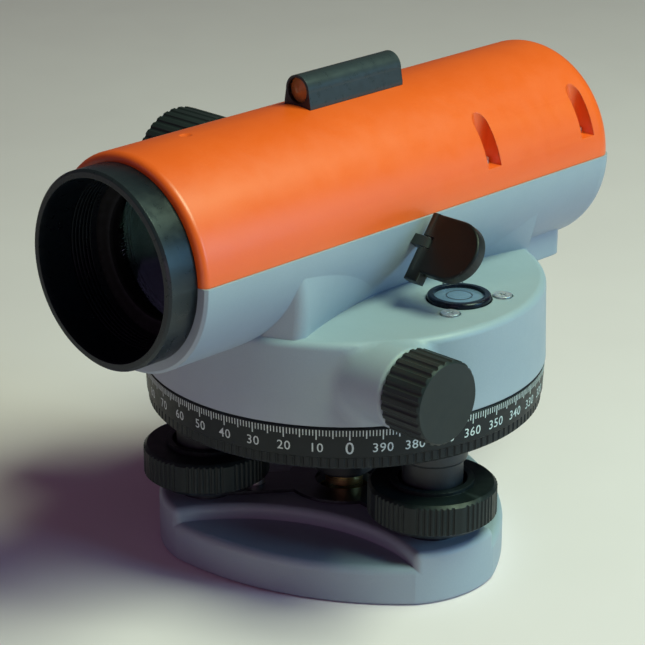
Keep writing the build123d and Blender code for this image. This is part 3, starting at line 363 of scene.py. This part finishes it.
def graduation_ticks():
    """One filled line per gon, longer at every fifth and tenth."""
    verts = []
    faces = []
    for g in range(FULL_CIRCLE):
        length = TICK_TENTH if g % 10 == 0 else TICK_FIFTH if g % 5 == 0 else TICK_SHORT
        half = TICK_HALF_BOLD if g % 5 == 0 else TICK_HALF_FINE
        angle = ZERO_ANGLE - g * GON
        width = half / FACE_HIGH_R * 180 / pi
        start = len(verts)
        for z in (TICK_TOP_Z - length, TICK_TOP_Z):
            for side in (-width, width):
                for proud in (FILL_SUNK, FILL_PROUD):
                    verts.append(face_point(angle + side, z, proud))
        # Corners: 0 and 1 are low left (sunk, proud), 2 and 3 low right, 4 to 7 the same at the top.
        for quad in ((1, 3, 7, 5), (0, 1, 5, 4), (3, 2, 6, 7), (0, 2, 3, 1), (4, 5, 7, 6), (2, 0, 4, 6)):
            faces.append(tuple(start + k for k in quad))
    add_mesh("circle_graduation", verts, faces, WHITE_FILL, "circle")


def number_outline(text, size):
    """Vertices (x and y, centred sideways) and faces of a flat number."""
    curve = bpy.data.curves.new("number_" + text, "FONT")
    curve.body = text
    curve.size = size
    curve.align_x = "CENTER"
    curve.align_y = "CENTER"
    curve.resolution_u = NUMBER_CURVE_STEPS
    curve.space_character = NUMBER_SPACING
    curve.offset = NUMBER_BOLDER * size
    holder = bpy.data.objects.new("number_" + text, curve)
    scene.collection.objects.link(holder)
    bpy.context.view_layer.update()
    flat = holder.evaluated_get(bpy.context.evaluated_depsgraph_get())
    mesh = bpy.data.meshes.new_from_object(flat)
    verts = [v.co.copy() for v in mesh.vertices]
    faces = [tuple(p.vertices) for p in mesh.polygons]
    bpy.data.meshes.remove(mesh)
    bpy.data.objects.remove(holder)
    bpy.data.curves.remove(curve)
    return verts, faces


def graduation_numbers():
    """A number at every tenth gon, wrapped round the face; the zero is larger."""
    verts = []
    faces = []
    for g in range(0, FULL_CIRCLE, 10):
        outline, quads = number_outline(str(g), ZERO_SIZE if g == 0 else NUMBER_SIZE)
        heights = [v.y for v in outline]
        middle = (min(heights) + max(heights)) / 2
        angle = ZERO_ANGLE - g * GON
        start = len(verts)
        for v in outline:
            turn = v.x / FACE_HIGH_R * 180 / pi
            verts.append(face_point(angle + turn, NUMBER_MIDDLE_Z + v.y - middle, FILL_PROUD))
        for q in quads:
            faces.append(tuple(start + k for k in q))
    add_mesh("circle_numbers", verts, faces, WHITE_FILL, "circle")


graduation_ticks()
graduation_numbers()

# ---------------------------------------------------------------- circular bubble
vial_low, vial_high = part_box("bubble_vial")
bubble_x = (vial_low.x + vial_high.x) / 2
bubble_y = (vial_low.y + vial_high.y) / 2
DOME_R = 40.5 * MM
MARK_R = 3.6 * MM
MARK_WIDTH = 0.32 * MM
MARK_HEIGHT = 0.06 * MM
MARK_SUNK = 0.02 * MM


def dome_z(radius):
    """Height of the vial's top glass at a distance from its middle."""
    return vial_high.z - DOME_R + (DOME_R ** 2 - radius ** 2) ** 0.5


ring("bubble_mark", (bubble_x, bubble_y, dome_z(MARK_R) - MARK_SUNK), MARK_R, MARK_WIDTH, MARK_HEIGHT,
     ETCHED, "housing")

# ---------------------------------------------------------------- floor, light and camera
CAMERA_AT = Vector((0.46097, -0.47804, 0.32215))
CAMERA_TO = Vector((-0.00904, 0.0, 0.0636))
SENSOR_WIDTH = 36.0
FOCAL_LENGTH = 137.33
OBJECT_MIDDLE = (0.0, 0.0, 0.085)
BASE_MIDDLE = (0.0, 0.0, 0.02)
FLOOR_HALF = 3.0
STUDIO_COLOUR = (1.0, 0.72, 1.0, 1.0)
STUDIO_STRENGTH = 0.06


def aim(obj, at, to):
    """Places a light or the camera and points it."""
    obj.location = at
    obj.rotation_euler = (Vector(to) - Vector(at)).to_track_quat("-Z", "Y").to_euler()


camera_data = bpy.data.cameras.new("camera")
camera_data.sensor_width = SENSOR_WIDTH
camera_data.lens = FOCAL_LENGTH
camera_data.dof.use_dof = False
camera_data.clip_start = 0.01
camera = bpy.data.objects.new("camera", camera_data)
scene.collection.objects.link(camera)
aim(camera, CAMERA_AT, CAMERA_TO)
scene.camera = camera


def area_light(name, at, to, size, power, color):
    """A soft rectangular light; the size in metres, the power in watts."""
    data = bpy.data.lights.new(name, "AREA")
    data.shape = "RECTANGLE"
    data.size = size[0]
    data.size_y = size[1]
    data.energy = power
    data.color = color
    obj = bpy.data.objects.new(name, data)
    scene.collection.objects.link(obj)
    aim(obj, at, to)


area_light("key_right", (1.00, 0.42, 0.36), OBJECT_MIDDLE, (0.40, 0.40), 4.5, (0.30, 0.68, 1.0))
area_light("top_soft", (0.48, 0.20, 0.96), OBJECT_MIDDLE, (0.48, 0.48), 13.5, (0.72, 1.0, 0.66))
area_light("front_left", (-0.45, -0.95, 0.30), OBJECT_MIDDLE, (0.5, 0.6), 0.3, (1.0, 0.45, 0.95))
area_light("camera_fill", (0.45, -0.85, 0.12), BASE_MIDDLE, (0.5, 0.15), 0.40, (1.0, 0.55, 0.80))

floor_mesh = bpy.data.meshes.new("floor")
builder = bmesh.new()
bmesh.ops.create_grid(builder, x_segments=2, y_segments=2, size=FLOOR_HALF)
builder.to_mesh(floor_mesh)
builder.free()
floor = bpy.data.objects.new("floor", floor_mesh)
scene.collection.objects.link(floor)
floor.data.materials.append(FLOOR_PALE)

world = bpy.data.worlds.new("studio")
world.use_nodes = True
backdrop = world.node_tree.nodes["Background"]
backdrop.inputs["Color"].default_value = STUDIO_COLOUR
backdrop.inputs["Strength"].default_value = STUDIO_STRENGTH
scene.world = world
scene.view_settings.view_transform = "Standard"
